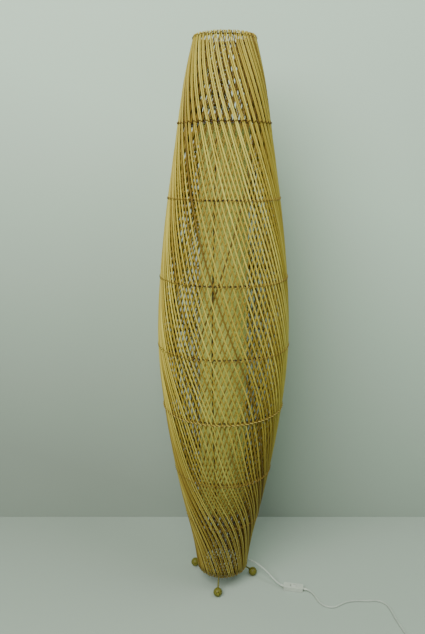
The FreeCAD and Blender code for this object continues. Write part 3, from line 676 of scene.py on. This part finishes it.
def make_twine(row, replaced):
    """Two strands, each over every other reed or pair and then round the hoop behind."""
    material, radius = TWINE[row]
    z, skin = row_level(row)
    store = MeshStore()
    count = PAIRS if row in BOUND_IN_PAIRS else 2 * PAIRS
    start = float(reed_turn(z)) + (0 if row in BOUND_IN_PAIRS else math.pi / count)
    index = np.arange(STITCH_STEPS * count + 1) / STITCH_STEPS
    azimuth = start + TAU * index / count
    outside = skin + radius + SKIN_GAP
    inside = skin - HOOP_INSET - HOOP_DIA / 2 - radius - 0.0002
    middle, reach = (outside + inside) / 2, (outside - inside) / 2
    clear = HOOP_DIA / 2 + radius + 0.0005
    for side in (0, math.pi):
        phase = math.pi * index + side
        swing = np.tanh(2.2 * np.cos(phase)) / math.tanh(2.2)
        if row == "row_one":
            height = z + 0.0012 - 0.0050 * np.abs(np.sin(phase)) ** 1.4
        else:
            height = z + clear * np.sin(phase)
        points = polar(middle + reach * swing, azimuth, height)
        store.tube(points[:-1], radius, 6)
    finish_piece(store.make(f"{row}_twine", material), "lamp", "twine", *replaced)


def make_two_tone_rope(row):
    """A pale strand and a dark one, twisted together once a reed and laid round the outside."""
    z, skin = row_level(row)
    turns = 2 * PAIRS
    share = np.arange(turns * ROPE_STEPS + 1) / (turns * ROPE_STEPS)
    for name, material, start in (("pale", "light_twine", 0), ("dark", "dark_twine", math.pi)):
        lay = TAU * turns * share + start
        store = MeshStore()
        line = polar(skin + ROPE_OUT + 0.0009 * np.cos(lay), TAU * share, z - 0.0010 * np.sin(lay))
        store.tube(line[:-1], ROPE_RADIUS, 6)
        finish_piece(store.make(f"{row}_{name}_strand", material), "lamp", "twine")


make_two_tone_rope("row_five")
for tied_row in ROWS:
    make_twine(tied_row, ["twined_ties"] if tied_row == ROWS[0] else [])

# ---------------------------------------------------------------- ribs, legs and feet

SIDES = {"front": -10.8, "left": -121, "right": 93}  # degrees round from the front
RIB_INSET = 0.0166
RIB_RADIUS = 0.0020
RIB_STEPS = 90
LEG_RADIUS = 0.0023
FOOT_FLAT = 0.0005  # how much of the ball is worn away where it stands
BALL_STEPS = 26
POLE = 0.0002  # radius of the tiny flat that closes a turned shape


def rounded_path(points, share=0.42, steps=7):
    """A path whose corners are bent round."""
    p = [np.array(q, float) for q in points]
    path = [p[0]]
    for before, corner, after in zip(p, p[1:], p[2:]):
        reach = share * min(np.linalg.norm(before - corner), np.linalg.norm(after - corner))
        a = corner + (before - corner) / np.linalg.norm(before - corner) * reach
        b = corner + (after - corner) / np.linalg.norm(after - corner) * reach
        for k in range(steps + 1):
            f = k / steps
            path.append((1 - f) ** 2 * a + 2 * f * (1 - f) * corner + f * f * b)
    path.append(p[-1])
    return np.array(path)


def lathe(store, outline, sides, place, close_ends=True):
    """Turns (radius, height) points about Z; place is a matrix."""
    angle = TAU * np.arange(sides) / sides
    r = np.array([q[0] for q in outline])[:, None]
    z = np.array([q[1] for q in outline])[:, None] + 0 * angle[None, :]
    rows = np.stack([r * np.cos(angle), r * np.sin(angle), z], -1)
    m = np.array(place)
    rows = rows @ m[:3, :3].T + m[:3, 3]
    run = np.hypot(np.diff([q[0] for q in outline]), np.diff([q[1] for q in outline]))
    length = np.concatenate([[0], np.cumsum(run)])
    store.grid(rows, TAU * max(q[0] for q in outline), length, close_ends=close_ends)


def make_ribs():
    heights = np.linspace(row_level("rim")[0], row_level("hem")[0], RIB_STEPS)
    for side, degrees in SIDES.items():
        store = MeshStore()
        points = polar(skin_radius(heights) - RIB_INSET, math.radians(degrees), heights)
        store.tube(points, RIB_RADIUS, 12, rounded=0.15)
        finish_piece(store.make(f"{side}_rib_rod", "hoop"), "lamp", "dark_wire", f"{side}_rib")


def make_leg(side):
    """A rod bent out under the hem, and the turned ball that it is pushed into."""
    azimuth = math.radians(SIDES[side])
    low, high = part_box(f"{side}_foot")
    centre = (low + high) / 2
    toe = math.atan2(centre.x, -centre.y)
    reach = math.hypot(centre.x, centre.y)
    ball_radius = (high.x - low.x) / 2
    middle = low.z + ball_radius - FOOT_FLAT
    top = row_level("hem")[0]
    inner = row_level("hem")[1] - RIB_INSET
    corners = [
        (inner, azimuth, top), (inner - 0.001, azimuth, top - 0.007),
        (inner + 0.005, azimuth, top - 0.017), (reach - 0.003, toe, middle + 0.0045),
    ]
    path = rounded_path([polar(*corner) for corner in corners])
    store = MeshStore()
    store.tube(path, LEG_RADIUS, 14)
    finish_piece(store.make(f"{side}_leg_rod", "leg"), "lamp", "olive_metal", f"{side}_leg")

    store = MeshStore()
    flat = math.sqrt(ball_radius**2 - (middle - low.z) ** 2)
    outline = [(POLE, low.z), (flat * 0.8, low.z), (flat, low.z + 0.00008)]
    start = math.asin(flat / ball_radius)
    for k in range(1, BALL_STEPS + 1):
        turn = start + (math.pi - start) * k / BALL_STEPS
        outline.append((max(ball_radius * math.sin(turn), POLE), middle - ball_radius * math.cos(turn)))
    lathe(store, outline, 36, Matrix.Translation((centre.x, centre.y, 0)))
    finish_piece(store.make(f"{side}_ball", "ball"), "lamp", "olive_wood", f"{side}_foot")


make_ribs()
for side_name in SIDES:
    make_leg(side_name)

# ---------------------------------------------------------------- sleeve

SLEEVE_THICK = 0.0007
SEAM_LAP = 0.008
SEAM_AT = 200  # degrees round from the front


def make_sleeve():
    """A cloth tube with a lapped seam down its back, drawn in a little between its two rings."""
    low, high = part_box("sleeve")
    radius = (high.x - low.x) / 2 - 0.0002
    around, up = 180, 96
    z = np.linspace(low.z, high.z, up)
    s = (z - low.z) / (high.z - low.z)
    waist = 0.0011 * np.sin(math.pi * s) ** 0.5
    lap = SEAM_LAP / radius
    turn = np.linspace(0, TAU + lap, around)
    sway = 2.2 * np.sin(7 * s[:, None])
    ripple = 0.00035 * np.sin(5 * turn[None, :] + sway) * np.sin(math.pi * s[:, None])
    over = np.clip((turn - TAU + 0.02) / 0.05, 0, 1)[None, :] * 1.3 * SLEEVE_THICK
    outer = radius - 1.6 * SLEEVE_THICK - waist[:, None] + ripple + over
    angle = math.radians(SEAM_AT) + turn[None, :] + 0 * z[:, None]
    outside = polar(outer, angle, z[:, None])
    inside = polar(outer - SLEEVE_THICK, angle, z[:, None])
    rows = np.concatenate([outside, inside[:, ::-1]], axis=1)
    store = MeshStore()
    store.grid(rows, 2 * TAU * radius, z)
    item = store.make("sleeve_cloth", "sleeve")
    finish_piece(item, "lamp", "sleeve", "sleeve")


make_sleeve()

# ---------------------------------------------------------------- fittings carried over from the frame


def dress_node(node, material):
    """Gives a CAD node its finished material."""
    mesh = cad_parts[node].data
    mesh.materials.clear()
    mesh.materials.append(MATERIALS[material])


def softened(node, name, material, body, slot, width, segments=2):
    """A copy of a crisp node with its flat faces joined up and its edges rounded, to stand for it."""
    work = bmesh.new()
    work.from_mesh(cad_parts[node].data)
    bmesh.ops.remove_doubles(work, verts=work.verts, dist=2e-6)
    bmesh.ops.dissolve_limit(work, angle_limit=math.radians(1.0), verts=work.verts, edges=work.edges)
    mesh = bpy.data.meshes.new(name)
    work.to_mesh(mesh)
    work.free()
    mesh.materials.append(MATERIALS[material])
    item = bpy.data.objects.new(name, mesh)
    bpy.context.scene.collection.objects.link(item)
    bevel = item.modifiers.new("edges", "BEVEL")
    bevel.width = width
    bevel.segments = segments
    bevel.limit_method = "ANGLE"
    bevel.angle_limit = math.radians(28)
    bevel.use_clamp_overlap = True
    for face in mesh.polygons:
        face.use_smooth = True
    normals = item.modifiers.new("normals", "WEIGHTED_NORMAL")
    normals.keep_sharp = True
    return finish_piece(item, body, slot, node)


DRESSED = {
    "hoop": [f"{row}_hoop" for row in ROWS],
    "bare_wire": ["upper_sleeve_ring", "lower_sleeve_ring", "sleeve_spokes"],
    "steel": ["spider_hub", "spider_arms", "conduit", "conduit_nuts", "holder_bracket", "bracket_nipple"],
    "flex": ["internal_leads"],
    "holder": ["cord_grip"] + [
        f"{tier}_holder_{part}" for tier in ("upper", "lower") for part in ("cap", "shell", "seat")
    ],
    "brass": ["upper_holder_liner", "lower_holder_liner", "switch_contacts"],
    "nickel": ["upper_bulb_cap", "lower_bulb_cap", "switch_pivot", "switch_screws", "plug_pins"],
    "opal": ["upper_bulb_glass", "lower_bulb_glass"],
}
for material_name, dressed_nodes in DRESSED.items():
    for dressed_node in dressed_nodes:
        dress_node(dressed_node, material_name)
lower_shell = softened("switch_base", "switch_lower_shell", "switch", "lamp", "white_plastic", 0.0006)
upper_shell = softened("switch_cover", "switch_upper_shell", "switch", "lamp", "white_plastic", 0.0016, 3)
softened("switch_rocker", "switch_rocker_cap", "rocker", "rocker", "rocker", 0.0005)
plug_shell = softened("plug_body", "plug_shell", "switch", "lamp", "white_plastic", 0.0022, 3)


BOOT_BORE = CORD_DIA / 2 + 0.00005
BOOT_EDGE = 0.0003
GROOVE_DEPTH = 0.00055
GROOVE = ((0.18, 0), (0.3, GROOVE_DEPTH), (0.62, GROOVE_DEPTH), (0.74, 0))  # place in its rib, and depth
LONG_BOOT = {"length": 0.028, "root": 0.0052, "tip": 0.0037, "rings": 6}
SHORT_BOOT = {"length": 0.009, "root": 0.0042, "tip": 0.0034, "rings": 2}
BOOT_AIM = 0.008  # a short boot points at the cord this far on


def ribbed_boot(name, start, direction, length, root, tip, rings, *nodes):
    """A tapered sleeve with grooves round it; root is its radius at the start and tip at the other end."""
    outline = [(BOOT_BORE, 0), (root - BOOT_EDGE, 0), (root, BOOT_EDGE)]
    for k in range(rings):
        for f, sunk in GROOVE:
            at = (k + f) / rings
            outline.append((root + (tip - root) * at - sunk, length * at))
    outline += [(tip, length - BOOT_EDGE), (tip - BOOT_EDGE, length), (BOOT_BORE, length)]
    turn = Vector(direction).to_track_quat("Z", "Y").to_matrix().to_4x4()
    store = MeshStore()
    lathe(store, outline, 28, Matrix.Translation(start) @ turn, close_ends=False)
    return finish_piece(store.make(name, "switch"), "lamp", "white_plastic", *nodes)


def unit(a, b):
    return (Vector(b) - Vector(a)).normalized()


def on_path(path, back):
    """The point that lies back metres from the end of a path."""
    reach = np.cumsum(np.linalg.norm(np.diff(path[::-1], axis=0), axis=1))
    k = int(np.searchsorted(reach, back))
    return Vector(path[::-1][k + 1])


leaving = unit(LAMP_ROUTE[0], LAMP_ROUTE[1])
relief_start = Vector(LAMP_ROUTE[0]) - LONG_BOOT["length"] * leaving
relief = ribbed_boot("relief_boot", relief_start, leaving, *LONG_BOOT.values(), "strain_relief")
low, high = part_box("plug_boot")
plug_start = Vector((low.x, (low.y + high.y) / 2, (low.z + high.z) / 2))
plug_long = {**LONG_BOOT, "length": high.x - low.x}
plug_relief = ribbed_boot("plug_relief", plug_start, (1, 0, 0), *plug_long.values(), "plug_boot")
entry = Vector(LAMP_ROUTE[-1])
entry_way = unit(entry, on_path(lamp_path, BOOT_AIM))
entry_boot = ribbed_boot("switch_entry_boot", entry, entry_way, *SHORT_BOOT.values())
outlet = Vector(FLOOR_ROUTE[0])
outlet_way = unit(outlet, on_path(floor_path[::-1], BOOT_AIM))
outlet_boot = ribbed_boot("switch_outlet_boot", outlet, outlet_way, *SHORT_BOOT.values())

# ---------------------------------------------------------------- studio

WALL_Y = 0.306
WALL_FOOT = 0.0005  # keeps the wall's edge out of the floor
WALL_TOP = 5
REACH = 6.0  # the floor's and the wall's half width


def plain(name, colour):
    s = Shader(name)
    s.set(Base_Color=(*colour, 1), Roughness=0.9, Specular_IOR_Level=0.2)
    return s.material


def stage_sheet(name, corners, material):
    """One flat sheet that the lamp stands on or in front of."""
    mesh = bpy.data.meshes.new(name)
    mesh.from_pydata(corners, [], [(0, 1, 2, 3)])
    mesh.materials.append(material)
    item = bpy.data.objects.new(name, mesh)
    bpy.context.scene.collection.objects.link(item)


def one_sided(name, low, high):
    """Paper that is seen only from the lamp's side, with painted light that pales it upwards and to the
    right.
    """
    s = Shader(name)
    s.set(Roughness=0.9, Specular_IOR_Level=0.1)
    split = s.node("SeparateXYZ")
    s.link(s.node("TexCoord").outputs["Object"], split.inputs[0])
    across = s.maths("MULTIPLY", split.outputs[0], 0.3)
    up = s.maths("MULTIPLY", split.outputs[2], 0.8)
    # painted light: the paper's colour brightens towards the top and towards the right
    s.colour(s.mix(s.maths("ADD", across, up), low, high))
    clear = s.node("BsdfTransparent")
    mixer = s.node("MixShader")
    s.link(s.node("NewGeometry").outputs["Backfacing"], mixer.inputs[0])
    s.link(s.bsdf.outputs[0], mixer.inputs[1])
    s.link(clear.outputs[0], mixer.inputs[2])
    s.link(mixer.outputs[0], s.tree.nodes["Material Output"].inputs["Surface"])
    return s.material


stage_sheet(
    "floor", [(-REACH, -REACH, 0), (REACH, -REACH, 0), (REACH, REACH, 0), (-REACH, REACH, 0)],
    plain("floor_paper", (0.42, 0.495, 0.435)),
)
stage_sheet(
    "wall", [
        (-REACH, WALL_Y, WALL_FOOT), (REACH, WALL_Y, WALL_FOOT),
        (REACH, WALL_Y, WALL_TOP), (-REACH, WALL_Y, WALL_TOP),
    ],
    one_sided("wall_paper", (0.34, 0.395, 0.345), (0.58, 0.73, 0.62)),
)

world = bpy.data.worlds.new("studio")
bpy.context.scene.world = world
world.use_nodes = True
background = world.node_tree.nodes["Background"]
background.inputs["Color"].default_value = (0.76, 0.92, 0.82, 1)
background.inputs["Strength"].default_value = 0.15


def area_light(name, place, target, size, power, colour):
    data = bpy.data.lights.new(name, "AREA")
    data.size = size
    data.energy = power
    data.color = colour
    item = bpy.data.objects.new(name, data)
    item.location = place
    item.rotation_euler = (Vector(target) - Vector(place)).to_track_quat("-Z", "Y").to_euler()
    bpy.context.scene.collection.objects.link(item)


area_light("key", (-0.85, -1.9, 2.6), (0, 0, 1.1), 2.2, 102, (1.0, 1.0, 0.93))
area_light("fill", (1.5, -0.7, 3.0), (0.9, 0.2, 0.6), 1.6, 30, (0.95, 1.0, 0.95))
